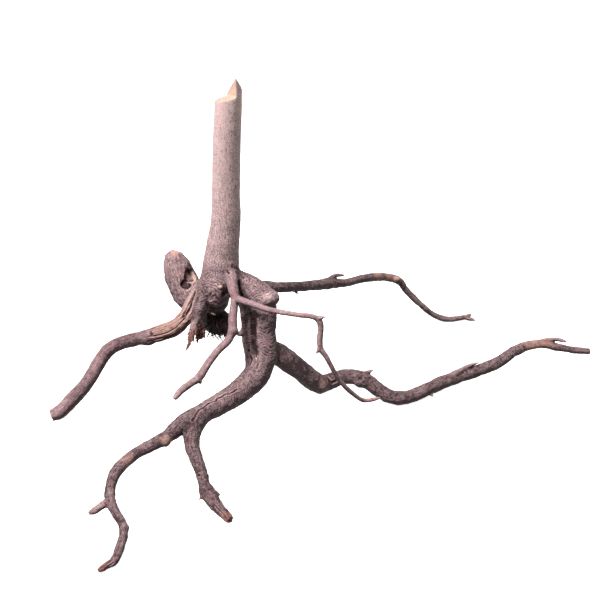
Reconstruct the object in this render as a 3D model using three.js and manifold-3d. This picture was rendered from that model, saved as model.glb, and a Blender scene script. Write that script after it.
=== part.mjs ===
// Vine driftwood: the dead root stock of a vine, standing on its roots. One sawn and splintered
// stem rises from a gnarled crown, and bare roots run out from it to the left, front, right and back.
// Millimetres, +Z up. The origin is under the middle of the whole piece, on the surface it stands on.
import * as THREE from 'three';
import { mergeVertices } from 'three/addons/utils/BufferGeometryUtils.js';
import Module from 'manifold-3d';

const wasm = await Module();
wasm.setup();

// Driving dimensions.
const GROUND_LEVEL = 0; // the roots are worn flat where they touch the surface
const TIP_SHARE = 0.45; // width of a blunt end, as a share of the limb's width
const SAW_CUT_MIDDLE = [-84, 61, 294]; // on the stem's axis
const SAW_CUT_NORMAL = [-0.24, 0.2, 0.95]; // leans to the left and slightly back
const SHARD_FACE_POINT = [-80.2, 62, 296]; // the split face inside the splinter left on the stem
const SHARD_FACE_NORMAL = [-0.92, -0.39, 0];
const SHARD_TIP = [-75.9, 51.8, 316]; // in the bark, at the front of the splinter
const SHARD_BACK_NORMAL = [0.39, 0.74, 0.55]; // the break slopes from the tip to the back and right
const CAVITY_MIDDLE = [-123, 73, 114]; // rotted pocket in the front of the worn stub
const CAVITY_RADII = [5.5, 7.5, 8.5];
const CREVICE_ENDS = [[-3, 31, 27], [6, 33, 9]]; // crack beside the knot on the right root
const CREVICE_RADIUS = 1.7;
const STEM_BLOCK = 80; // larger than the stem's end
const GROUND_BLOCK = 800; // larger than the whole piece

// Every limb is a route of points [x, y, z, radius], and the way its rings are made:
// sides round it, step between rings, flutes (lengthwise swellings) and lumps as shares of the
// radius, and wrinkles as a height in millimetres.
const STEM = {
  sides: 16, step: 11, flutes: 3, fluteDepth: 0.03, lump: 0.03, phase: 0.4,
  route: [[-94, 58, 108, 15], [-94, 60, 126, 17], [-93, 61, 138, 16], [-91, 62, 155, 14.5],
    [-88, 63, 177, 13.1], [-87, 63, 207, 12.2], [-85, 62, 255, 11.9], [-83, 61, 288, 11.6],
    [-82, 61, 332, 11.2]],
};

const BURL = {
  sides: 14, step: 6, flutes: 4, fluteDepth: 0.08, lump: 0.08, phase: 1.1,
  route: [[-94, 60, 142, 9], [-96, 56, 131, 11], [-98, 50, 120, 11], [-97, 47, 111, 9.5],
    [-96, 46, 102, 5.5]],
};

const CROWN = {
  sides: 14, step: 6, flutes: 3, fluteDepth: 0.08, lump: 0.08, phase: 0.2,
  route: [[-94, 61, 130, 13], [-98, 62, 113, 15], [-100, 65, 99, 13.5], [-99, 67, 86, 10.5]],
};

const STUB_BEHIND = {
  sides: 14, step: 5.5, flutes: 3, fluteDepth: 0.06, lump: 0.06, phase: 2.3,
  route: [[-135, 93, 132, 6], [-136, 91, 127, 10], [-135, 88, 119, 12.7], [-132, 85, 110, 14],
    [-126, 81, 98, 14.4], [-118, 76, 88, 13.8], [-107, 69, 79, 13], [-96, 63, 75, 12],
    [-86, 59, 77, 8.5]],
};

const LEFT_ROOT = {
  sides: 11, step: 6.5, flutes: 3, fluteDepth: 0.06, twist: 0.02, lump: 0.06, phase: 0.8,
  route: [[-92, 62, 122, 11], [-105, 58, 115, 10.7], [-117, 51, 103, 8], [-125, 43, 92, 7.1],
    [-136, 41, 82, 7.6], [-149, 42, 76, 7.6], [-170, 45, 68, 6.4], [-187, 48, 61, 6.1],
    [-198, 47, 54, 6.2], [-206, 42, 44, 6.2], [-213, 34, 34, 6.3], [-221, 27, 25, 6.5],
    [-232, 24, 14, 6.6], [-241, 20, 6, 6.2], [-249, 18, 2.8, 5.6]],
};

const MAIN_ROOT = {
  sides: 14, step: 4.4, flutes: 3, fluteDepth: 0.05, twist: 0.015, lump: 0.05, wrinkle: 0.6, wrinkleLength: 11,
  phase: 1.9,
  route: [[-89, 62, 119, 13.4], [-71, 57, 115, 11.8], [-59, 51, 109, 12.4], [-55, 45, 101, 11.6],
    [-54, 41, 91, 10.4], [-55, 38, 80, 9.9], [-54, 34, 68, 10.8], [-57, 28, 56, 12.1], [-63, 18, 46, 12],
    [-74, 6, 40, 10.9], [-89, -10, 38, 9.7], [-104, -26, 38, 9.1], [-118, -39, 39, 7.9]],
};

const FRONT_LEFT_ROOT = {
  sides: 9, step: 6, flutes: 3, fluteDepth: 0.07, twist: 0.03, lump: 0.07, phase: 0.2,
  route: [[-106, -28, 38, 8], [-118, -39, 39, 7.9], [-127, -50, 38, 7.1], [-136, -60, 35, 6],
    [-150, -68, 31, 5.3], [-162, -75, 28, 4.9], [-171, -86, 26, 5], [-177, -98, 24, 5.1],
    [-179, -109, 21, 4.5], [-179, -120, 18, 4.6], [-177, -128, 16, 4.3], [-172, -138, 14, 3.7],
    [-166, -149, 12, 3.9], [-164, -160, 10, 3.8], [-165, -168, 9, 3.9], [-167, -178, 6, 3.8],
    [-170, -185, 4, 3.6], [-176, -190, 2.8, 3], [-181, -194, 2.4, 2]],
};

const MIDDLE_FOOT = {
  sides: 9, step: 6, flutes: 3, fluteDepth: 0.08, twist: -0.03, lump: 0.07, phase: 2.9,
  route: [[-92, -6, 38, 7.5], [-97, -17, 37, 7.2], [-109, -35, 37, 7.6], [-115, -53, 34, 7.5],
    [-114, -69, 31, 6.3], [-111, -79, 28, 5.7], [-106, -91, 22, 5], [-103, -100, 16, 5.1],
    [-101, -106, 12, 6.3], [-96, -113, 9.5, 5.8], [-89, -121, 5.4, 5], [-83, -128, 3.2, 4.2],
    [-80, -132, 2.8, 3.2]],
};

const RIGHT_ROOT = {
  sides: 10, step: 7.5, flutes: 3, fluteDepth: 0.06, twist: 0.02, lump: 0.06, phase: 1.4,
  route: [[-57, 35, 68, 9.5], [-48, 39, 59, 9.9], [-38, 40, 51, 10], [-23, 40, 38, 9.3],
    [-12, 42, 26, 9.4], [-4, 46, 19, 8.7], [6, 53, 18, 7.5], [16, 56, 20, 6.9], [27, 55, 21, 6.8],
    [39, 52, 18, 7.1], [49, 47, 12, 6.7], [58, 43, 8, 6.5], [68, 42, 6, 6.5], [81, 46, 6, 6.2],
    [94, 53, 8, 6], [108, 62, 9.5, 6.3], [123, 68, 11.5, 5.9], [136, 72, 14, 5.6], [152, 76, 17.5, 5.5],
    [167, 83, 21.5, 5.3], [180, 92, 26, 5.1], [194, 97, 29, 4.5], [207, 97, 31, 4.2], [219, 94, 29, 3.8],
    [232, 93, 27, 3.3], [244, 92, 26, 3.1], [251, 93, 25, 3.1]],
};

const BACK_ROOT = {
  sides: 8, step: 7.5, flutes: 2, fluteDepth: 0.08, twist: 0.02, lump: 0.07, phase: 0.6,
  route: [[-86, 68, 112, 7], [-72, 73, 108, 6.2], [-58, 78, 104, 5.5], [-42, 85, 99, 4.9],
    [-24, 99, 92, 4.6], [-7, 114, 85, 4.9], [3, 124, 81, 5.7], [11, 132, 77, 4.7], [22, 140, 73, 3.8],
    [35, 154, 69, 4], [50, 169, 63, 4.2], [62, 178, 58, 4], [71, 185, 52, 4], [77, 187, 47, 3.6],
    [82, 187, 39, 3.3], [90, 187, 30, 3.2], [100, 186, 20, 3], [110, 188, 10, 2.9], [121, 189, 4, 2.9],
    [131, 190, 2.5, 2.8], [140, 192, 3, 2.6], [149, 193, 4, 2.6]],
};

const THIN_FRONT_ROOT = {
  sides: 7, step: 6, flutes: 2, fluteDepth: 0.08, lump: 0.08, phase: 2.1,
  route: [[-87, 58, 140, 5.5], [-86, 53, 136, 5.7], [-84, 47, 131, 5.5], [-82, 39, 125, 4.8],
    [-80, 33, 119, 4.3], [-81, 28, 110, 3.6], [-82, 23, 102, 3.9], [-82, 18, 94, 4.3], [-86, 11, 87, 3.5],
    [-93, 5, 83, 3.5], [-101, -3, 76, 3.5], [-107, -11, 70, 3.7], [-111, -16, 66, 3.7],
    [-118, -21, 63, 3.2], [-126, -28, 60, 3], [-131, -34, 56, 2.8]],
};

const THIN_SIDE_ROOT = {
  sides: 6, step: 7, flutes: 2, fluteDepth: 0.06, lump: 0.08, phase: 1.2,
  route: [[-81, 33, 119, 3.6], [-75, 29, 118, 3.1], [-64, 23, 117, 2.7], [-51, 16, 116, 2.7],
    [-38, 11, 116, 2.4], [-26, 7, 116, 2.3], [-13, 4, 116, 2.4], [-7, 3, 113, 2.8], [-5, 2, 106, 2.7],
    [-6, 0, 95, 2.8], [-5, -2, 87, 2.7], [0, -3, 79, 2.3], [5, -3, 68, 2.1], [10, -2, 57, 2.1],
    [18, 0, 45, 2.1], [26, 3, 35, 2.1], [33, 6, 28, 2.1], [40, 9, 26, 1.9], [49, 13, 26, 1.4]],
};

const TORN_FLANK = {
  sides: 10, step: 5, flutes: 3, fluteDepth: 0.08, lump: 0.08, phase: 0.9,
  route: [[-98, 60, 132, 9], [-101, 56, 127, 9.8], [-108, 51, 113, 8.2], [-112, 46, 102, 7.6],
    [-114, 41, 93, 5.6], [-116, 36, 86, 3.6]],
};

const MAIN_ROOT_LOBE = {
  sides: 10, step: 5, flutes: 2, fluteDepth: 0.08, lump: 0.06, phase: 1.7,
  route: [[-78, 55, 118, 6], [-76, 53, 113, 6.4], [-72, 48, 104, 6.4], [-70, 43, 93, 6.2],
    [-69, 38, 81, 6.2], [-68, 34, 70, 6.5], [-65, 29, 58, 7.4], [-65, 22, 48, 6]],
};

// Spurs, twigs and torn ends: short tapered limbs with few sides.
const TWIG = { sides: 6, step: 5, flutes: 0, fluteDepth: 0, lump: 0.05, phase: 0.5 };
const TWIG_ROUTES = [
  [[-114, 41, 94, 4.6], [-118, 33, 85, 3.6], [-122, 27, 74, 1.9]], // torn strip on the flank, left
  [[-111, 43, 96, 5], [-112, 40, 82, 4], [-112, 38, 73, 2.4]], // torn strip on the flank, right
  [[-176, -123, 17, 4.1], [-184, -129, 16, 3.5], [-190, -134, 14, 3], [-195, -136, 13, 2.3]], // front-left spur
  [[-102, -107, 12, 2.8], [-105, -111, 10, 1.9], [-107, -114, 9, 1.3]], // middle foot, left nub
  [[-98, -107, 12, 3.9], [-93, -108, 12, 2.7], [-89, -109, 11, 1.8]], // middle foot, right nub
  [[27, 53, 22, 4], [37, 56, 24, 2.2], [45, 59, 26, 1.4]], // right root, twig after the knot
  [[118, 66, 14, 4], [130, 71, 20, 2.1], [138, 73, 23, 1.6], [145, 74, 24.5, 1]], // right root, lifted bark
  [[97, 53, 7, 3], [100, 47, 4, 1.3]], // right root, spur underneath
  [[196, 97, 31, 3.2], [211, 98, 34.5, 2.1], [220, 98, 35, 1.9], [229, 96, 33.5, 1.6]], // right root, upper twig
  [[-3, 120, 81, 3.6], [4, 128, 83.5, 2.5], [11, 137, 82.5, 2], [20, 142, 80, 1.5]], // back root, curled twig
  [[-31, 97, 93, 3], [-24, 91, 87, 1]], // back root, spur underneath
  [[12, 134, 75, 3.4], [21, 137, 71, 1.3]], // back root, scale beside the curled twig
  [[144, 192, 4, 2.5], [151, 194, 6, 1.8]], // back root, end, upper tooth
  [[144, 192, 3.4, 2.5], [154, 188, 2.4, 1.8]], // back root, end, lower tooth
  [[-110, -16, 67, 3], [-109, -19, 61.5, 1.6]], // thin front root, spur
  [[-83, 20, 94, 3.2], [-75, 15, 90.5, 1.6]], // thin front root, nub at the bend
  [[-9, 3, 114.5, 2.6], [0, 2, 117, 0.9]], // thin side root, spur at the elbow
  [[-5, -2, 89, 2.6], [-9, -4, 83, 1.3]], // thin side root, nub
  [[-69, 39, 82, 5], [-76, 35, 80, 3], [-79, 33, 79, 1.9]], // knob between the crown's lobes
  [[-99, 45, 121, 4], [-99, 38, 118, 2]], // broken twig on the crown
  [[70, 182, 54, 3.4], [75, 176, 57, 2.2]], // back root, knot after the wrinkled patch
];

// Lifted strands of split grain on the left root: from and to are shares of its length, the angles
// are degrees away from straight up, towards the front, and the width is the strand's radius.
const STRANDS = [
  { from: 0.09, to: 0.3, angles: [60, 20], width: 2.5 },
  { from: 0.1, to: 0.4, angles: [10, -5], width: 2.7 },
  { from: 0.12, to: 0.38, angles: [95, 55], width: 2.3 },
  { from: 0.2, to: 0.44, angles: [35, 40], width: 2.1 },
];
const STRAND = { sides: 6, step: 6, flutes: 0, fluteDepth: 0, lump: 0.08, phase: 0.3 };
const STRAND_STATIONS = 6;
const STRAND_LIFT = 0.7; // distance of a strand's middle from the root's axis, as a share of its radius

// Knots: ellipsoids sunk in a limb, [x, y, z] and their radii.
const KNOTS = [
  { at: [-137, -65, 35], radii: [5, 6.5, 6] },
  { at: [-4, 40, 20], radii: [7.5, 7, 8] },
  { at: [32, 49, 19], radii: [5.5, 5, 6.2] },
  { at: [-101, -105, 12.5], radii: [7, 6.5, 6.5] },
  { at: [-164, -153, 12], radii: [4.6, 4.6, 4.4] },
  { at: [3, 124, 81], radii: [6.8, 6, 6.2] },
  { at: [-82, 17, 94], radii: [5, 4.6, 5.2] },
  { at: [-160, 43, 70], radii: [8, 7, 7] },
  { at: [-50, 43, 112], radii: [9, 9, 8] },
];
const KNOT_SIDES = 8;

// A closed three.js geometry as a solid. Its shared corners are merged first.
function toSolid(geometry) {
  geometry.deleteAttribute('normal');
  geometry.deleteAttribute('uv');
  const merged = mergeVertices(geometry);
  return new wasm.Manifold(new wasm.Mesh({
    numProp: 3,
    vertProperties: Float32Array.from(merged.attributes.position.array),
    triVerts: Uint32Array.from(merged.index.array),
  }));
}

function routeCurve(route) {
  return new THREE.CatmullRomCurve3(route.map(([x, y, z]) => new THREE.Vector3(x, y, z)), false, 'centripetal');
}

// Radius at share u of the route's length, eased between its points.
function radiusAt(route, curve, u) {
  const place = curve.getUtoTmapping(u) * (route.length - 1);
  const index = Math.min(Math.floor(place), route.length - 2);
  const share = THREE.MathUtils.smoothstep(place - index, 0, 1);
  return THREE.MathUtils.lerp(route[index][3], route[index + 1][3], share);
}

// A limb is a cylinder whose rings are moved on to its route, then shaped by flutes, lumps and
// wrinkles. Its last ring is drawn in, so that the end is blunt and not a disc.
function limb(settings) {
  const { route, sides, step, flutes, fluteDepth, lump, phase, twist = 0 } = settings;
  const { wrinkle = 0, wrinkleLength = 7 } = settings;
  const curve = routeCurve(route);
  const length = curve.getLength();
  const rings = Math.max(2, Math.round(length / step));
  const frames = curve.computeFrenetFrames(rings, false);
  const roundness = (1 + 1 / Math.cos(Math.PI / sides)) / 2; // flat sides straddle the true round
  const geometry = new THREE.CylinderGeometry(1, 1, 1, sides, rings);
  const position = geometry.attributes.position;
  for (let i = 0; i < position.count; i++) {
    const [x, y, z] = [position.getX(i), position.getY(i), position.getZ(i)];
    const ring = Math.round((y + 0.5) * rings);
    const corner = (Math.round((Math.atan2(x, z) / (2 * Math.PI)) * sides) + sides) % sides;
    const onAxis = Math.hypot(x, z) < 0.5;
    const angle = (corner / sides) * 2 * Math.PI;
    const along = (ring / rings) * length;
    const blunt = ring === 0 || ring === rings ? TIP_SHARE + (1 - TIP_SHARE) * 0.4 : 1;
    const shape = 1 + fluteDepth * Math.cos(flutes * angle + twist * along + phase)
      + lump * Math.sin(along / 9 + phase) * Math.cos(angle + along / 23)
      + 0.6 * lump * Math.sin(along / 4.3 + 2 * phase + angle);
    const wave = (2 * Math.PI * along) / wrinkleLength + 1.2 * Math.sin(angle + along / 15);
    const relief = wrinkle * Math.sin(wave);
    const radius = onAxis ? 0 : (radiusAt(route, curve, ring / rings) * shape + relief) * blunt * roundness;
    const point = curve.getPointAt(ring / rings)
      .addScaledVector(frames.normals[ring], radius * Math.cos(angle))
      .addScaledVector(frames.binormals[ring], radius * Math.sin(angle));
    position.setXYZ(i, point.x, point.y, point.z);
  }
  return toSolid(geometry);
}

// The route of a lifted strand of grain that runs along another limb.
function strandRoute(route, { from, to, angles, width }) {
  const curve = routeCurve(route);
  const up = new THREE.Vector3(0, 0, 1);
  const points = [];
  for (let k = 0; k < STRAND_STATIONS; k++) {
    const share = k / (STRAND_STATIONS - 1);
    const u = THREE.MathUtils.lerp(from, to, share);
    const tangent = curve.getTangentAt(u);
    const sideways = new THREE.Vector3().crossVectors(up, tangent).normalize();
    const above = new THREE.Vector3().crossVectors(tangent, sideways);
    const angle = THREE.MathUtils.degToRad(THREE.MathUtils.lerp(angles[0], angles[1], share));
    const distance = radiusAt(route, curve, u) * STRAND_LIFT;
    const point = curve.getPointAt(u)
      .addScaledVector(above, distance * Math.cos(angle))
      .addScaledVector(sideways, distance * Math.sin(angle));
    points.push([point.x, point.y, point.z, width * (1 - 0.7 * share ** 2)]);
  }
  return points;
}

function ellipsoid(at, radii) {
  const geometry = new THREE.SphereGeometry(1, KNOT_SIDES, KNOT_SIDES / 2);
  geometry.scale(...radii);
  geometry.translate(...at);
  return toSolid(geometry);
}

// A block that fills the side of a plane that its normal points to.
function blockBeyond(point, normal, size) {
  const geometry = new THREE.BoxGeometry(size, size, size);
  geometry.translate(0, 0, size / 2);
  const turn = new THREE.Quaternion().setFromUnitVectors(
    new THREE.Vector3(0, 0, 1), new THREE.Vector3(...normal).normalize());
  geometry.applyQuaternion(turn);
  geometry.translate(...point);
  return toSolid(geometry);
}

// The saw took the stem's end off at a slant, and the last of it tore: a pointed shard stands up
// on the right of the cut.
function sawnStem() {
  const awayFromShard = blockBeyond(SHARD_FACE_POINT, SHARD_FACE_NORMAL, STEM_BLOCK);
  const sawnOff = blockBeyond(SAW_CUT_MIDDLE, SAW_CUT_NORMAL, STEM_BLOCK).intersect(awayFromShard);
  const brokenBack = blockBeyond(SHARD_TIP, SHARD_BACK_NORMAL, STEM_BLOCK);
  return limb(STEM).subtract(sawnOff).subtract(brokenBack);
}

function crownAndRoots() {
  const limbs = [BURL, CROWN, STUB_BEHIND, LEFT_ROOT, MAIN_ROOT, MAIN_ROOT_LOBE, FRONT_LEFT_ROOT, MIDDLE_FOOT,
    RIGHT_ROOT, BACK_ROOT, THIN_FRONT_ROOT, THIN_SIDE_ROOT, TORN_FLANK].map(limb);
  const twigs = TWIG_ROUTES.map((route) => limb({ ...TWIG, route }));
  const strands = STRANDS.map((strand) => limb({ ...STRAND, route: strandRoute(LEFT_ROOT.route, strand) }));
  const knots = KNOTS.map(({ at, radii }) => ellipsoid(at, radii));
  return [...limbs, ...twigs, ...strands, ...knots];
}

function driftwoodSolid() {
  const [top, bottom] = CREVICE_ENDS;
  const crevice = limb({ ...TWIG, route: [[...top, CREVICE_RADIUS], [...bottom, CREVICE_RADIUS]] });
  const belowGround = blockBeyond([0, 0, GROUND_LEVEL], [0, 0, -1], GROUND_BLOCK);
  return crownAndRoots().reduce((whole, piece) => whole.add(piece), sawnStem())
    .subtract(ellipsoid(CAVITY_MIDDLE, CAVITY_RADII))
    .subtract(crevice)
    .subtract(belowGround);
}

function toGeometry(solid) {
  const { vertProperties, triVerts } = solid.getMesh();
  const geometry = new THREE.BufferGeometry();
  geometry.setAttribute('position', new THREE.BufferAttribute(vertProperties, 3));
  geometry.setIndex(new THREE.BufferAttribute(triVerts, 1));
  geometry.computeVertexNormals();
  return geometry;
}

const bark = new THREE.MeshStandardMaterial({ color: 0x9c857d, roughness: 0.85, metalness: 0 });
const driftwood = new THREE.Mesh(toGeometry(driftwoodSolid()), bark);
driftwood.name = 'driftwood';

const part = new THREE.Group();
part.add(driftwood);
export default part;
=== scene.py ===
# Vine driftwood: bark, wrinkles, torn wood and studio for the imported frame.
# Routes and places are in millimetres in the frame's own axes, and meshes are made in metres.
import math

import bmesh
import bpy
import numpy as np
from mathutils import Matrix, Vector


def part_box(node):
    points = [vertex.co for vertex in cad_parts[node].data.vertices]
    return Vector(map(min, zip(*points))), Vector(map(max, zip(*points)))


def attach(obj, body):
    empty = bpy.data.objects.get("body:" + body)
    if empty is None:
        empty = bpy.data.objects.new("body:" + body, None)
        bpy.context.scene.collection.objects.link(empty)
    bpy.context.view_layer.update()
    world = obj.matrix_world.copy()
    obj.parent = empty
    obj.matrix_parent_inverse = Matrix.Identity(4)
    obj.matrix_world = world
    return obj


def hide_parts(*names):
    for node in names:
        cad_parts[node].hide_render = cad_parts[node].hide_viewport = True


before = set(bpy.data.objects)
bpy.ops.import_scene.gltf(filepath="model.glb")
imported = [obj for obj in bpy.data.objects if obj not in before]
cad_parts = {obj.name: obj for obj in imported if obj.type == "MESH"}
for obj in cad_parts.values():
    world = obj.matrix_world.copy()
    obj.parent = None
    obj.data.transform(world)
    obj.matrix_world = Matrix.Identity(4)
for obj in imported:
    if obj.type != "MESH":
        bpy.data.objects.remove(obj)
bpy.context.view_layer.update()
lowest, highest = (np.array(corner) * 1000 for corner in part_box("driftwood"))
metre = 0.001  # one millimetre in metres
scene = bpy.context.scene
print("frame loaded")

# Camera, light and floor
camera = {"at": (-0.023, -1.0658, 0.750), "tilt": 60, "lens": 86.67, "sensor": 36}
lights = [
    {"name": "keyLight", "at": (-0.66, -0.42, 1.18), "size": 0.45, "power": 34, "colour": (1, 0.97, 0.965)},
    {"name": "fillLight", "at": (0.75, -0.05, 0.9), "size": 0.6, "power": 6.5, "colour": (0.96, 1, 0.95)},
    {"name": "backLight", "at": (0.1, 1.2, 0.9), "size": 0.9, "power": 6, "colour": (1, 0.98, 0.97)},
]
studio = {"world": (0.97, 0.96, 1), "worldStrength": 0.035, "floor": (0.86, 0.86, 0.86), "floorGlow": 0.9,
          "floorSize": 30}


def aimed(item, target):
    item.rotation_euler = (Vector(target) - item.location).to_track_quat("-Z", "Y").to_euler()


view = bpy.data.cameras.new("camera")
view.lens, view.sensor_width = camera["lens"], camera["sensor"]
cameraItem = bpy.data.objects.new("camera", view)
cameraItem.location = camera["at"]
cameraItem.rotation_euler = (math.radians(camera["tilt"]), 0, 0)
scene.collection.objects.link(cameraItem)
scene.camera = cameraItem
for light in lights:
    lamp = bpy.data.lights.new(light["name"], "AREA")
    lamp.size, lamp.energy, lamp.color = light["size"], light["power"], light["colour"]
    lampItem = bpy.data.objects.new(light["name"], lamp)
    lampItem.location = light["at"]
    aimed(lampItem, (-0.02, 0, 0.08))
    scene.collection.objects.link(lampItem)
world = bpy.data.worlds.new("studio")
world.use_nodes = True
world.node_tree.nodes["Background"].inputs["Color"].default_value = (*studio["world"], 1)
world.node_tree.nodes["Background"].inputs["Strength"].default_value = studio["worldStrength"]
scene.world = world
scene.view_settings.view_transform = "Standard"


# Shader and geometry node helpers
class Wire:
    # One output socket; the operators add Math nodes after it.
    def __init__(self, sheet, node, output=0):
        self.sheet, self.node, self.socket = sheet, node, node.outputs[output]

    def out(self, output):
        return Wire(self.sheet, self.node, output)

    def __add__(self, other):
        return self.sheet.maths("ADD", self, other)

    def __sub__(self, other):
        return self.sheet.maths("SUBTRACT", self, other)

    def __rsub__(self, other):
        return self.sheet.maths("SUBTRACT", other, self)

    def __mul__(self, other):
        return self.sheet.maths("MULTIPLY", self, other)

    def __truediv__(self, other):
        return self.sheet.maths("DIVIDE", self, other)

    def __pow__(self, other):
        return self.sheet.maths("POWER", self, other)

    __radd__ = __add__
    __rmul__ = __mul__


class Sheet:
    # One node tree, with a method for each kind of step.
    def __init__(self, tree):
        self.tree = tree

    def put(self, value, slot):
        if isinstance(value, Wire):
            self.tree.links.new(value.socket, slot)
        else:
            slot.default_value = value

    def add(self, kind, values=(), output=0, **settings):
        node = self.tree.nodes.new(kind)
        for name, value in settings.items():
            setattr(node, name, value)
        for name, value in dict(values).items():
            self.put(value, node.inputs[name])
        return Wire(self, node, output)

    def maths(self, operation, *values, clamp=False):
        return self.add("ShaderNodeMath", enumerate(values), operation=operation, use_clamp=clamp)

    def vector(self, operation, *values, output=0):
        return self.add("ShaderNodeVectorMath", enumerate(values), output=output, operation=operation)

    def mix(self, share, first, second, blend="MIX"):
        values = {0: share, 6: first, 7: second}
        return self.add("ShaderNodeMix", values, output=2, data_type="RGBA", blend_type=blend)

    def noise(self, place, size, detail=2.0, roughness=0.5, distortion=0.0):
        values = {"Vector": place, "Scale": 1 / size, "Detail": detail, "Roughness": roughness, "Distortion": distortion}
        return self.add("ShaderNodeTexNoise", values)

    def cells(self, place, size, feature="F1", output=0):
        return self.add("ShaderNodeTexVoronoi", {"Vector": place, "Scale": 1 / size}, output=output, feature=feature)

    def ramp(self, value, low, high, first=0.0, last=1.0):
        values = {"Value": value, 1: low, 2: high, 3: first, 4: last}
        return self.add("ShaderNodeMapRange", values, interpolation_type="SMOOTHSTEP")

    def attribute(self, name, output=2):
        return self.add("ShaderNodeAttribute", output=output, attribute_type="GEOMETRY", attribute_name=name)


def newMaterial(name, roughness):
    material = bpy.data.materials.new(name)
    material.use_nodes = True
    sheet = Sheet(material.node_tree)
    shader = material.node_tree.nodes["Principled BSDF"]
    shader.inputs["Roughness"].default_value = roughness
    shader.inputs["Specular IOR Level"].default_value = 0.3
    return material, sheet, shader


floorMaterial, floorSheet, floorShader = newMaterial("paleFloor", 0.9)
floorShader.inputs["Base Color"].default_value = (*studio["floor"], 1)
floorShader.inputs["Emission Color"].default_value = (1, 1, 1, 1)
floorShader.inputs["Emission Strength"].default_value = studio["floorGlow"]
half = studio["floorSize"] / 2
floorMesh = bpy.data.meshes.new("floor")
floorMesh.from_pydata([(-half, -half, 0), (half, -half, 0), (half, half, 0), (-half, half, 0)], [], [(0, 1, 2, 3)])
floorMesh.materials.append(floorMaterial)
floor = bpy.data.objects.new("floor", floorMesh)
scene.collection.objects.link(floor)
floor.visible_diffuse = False  # the wood's undersides stay dark, as over a dark table
print("studio ready")

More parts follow.
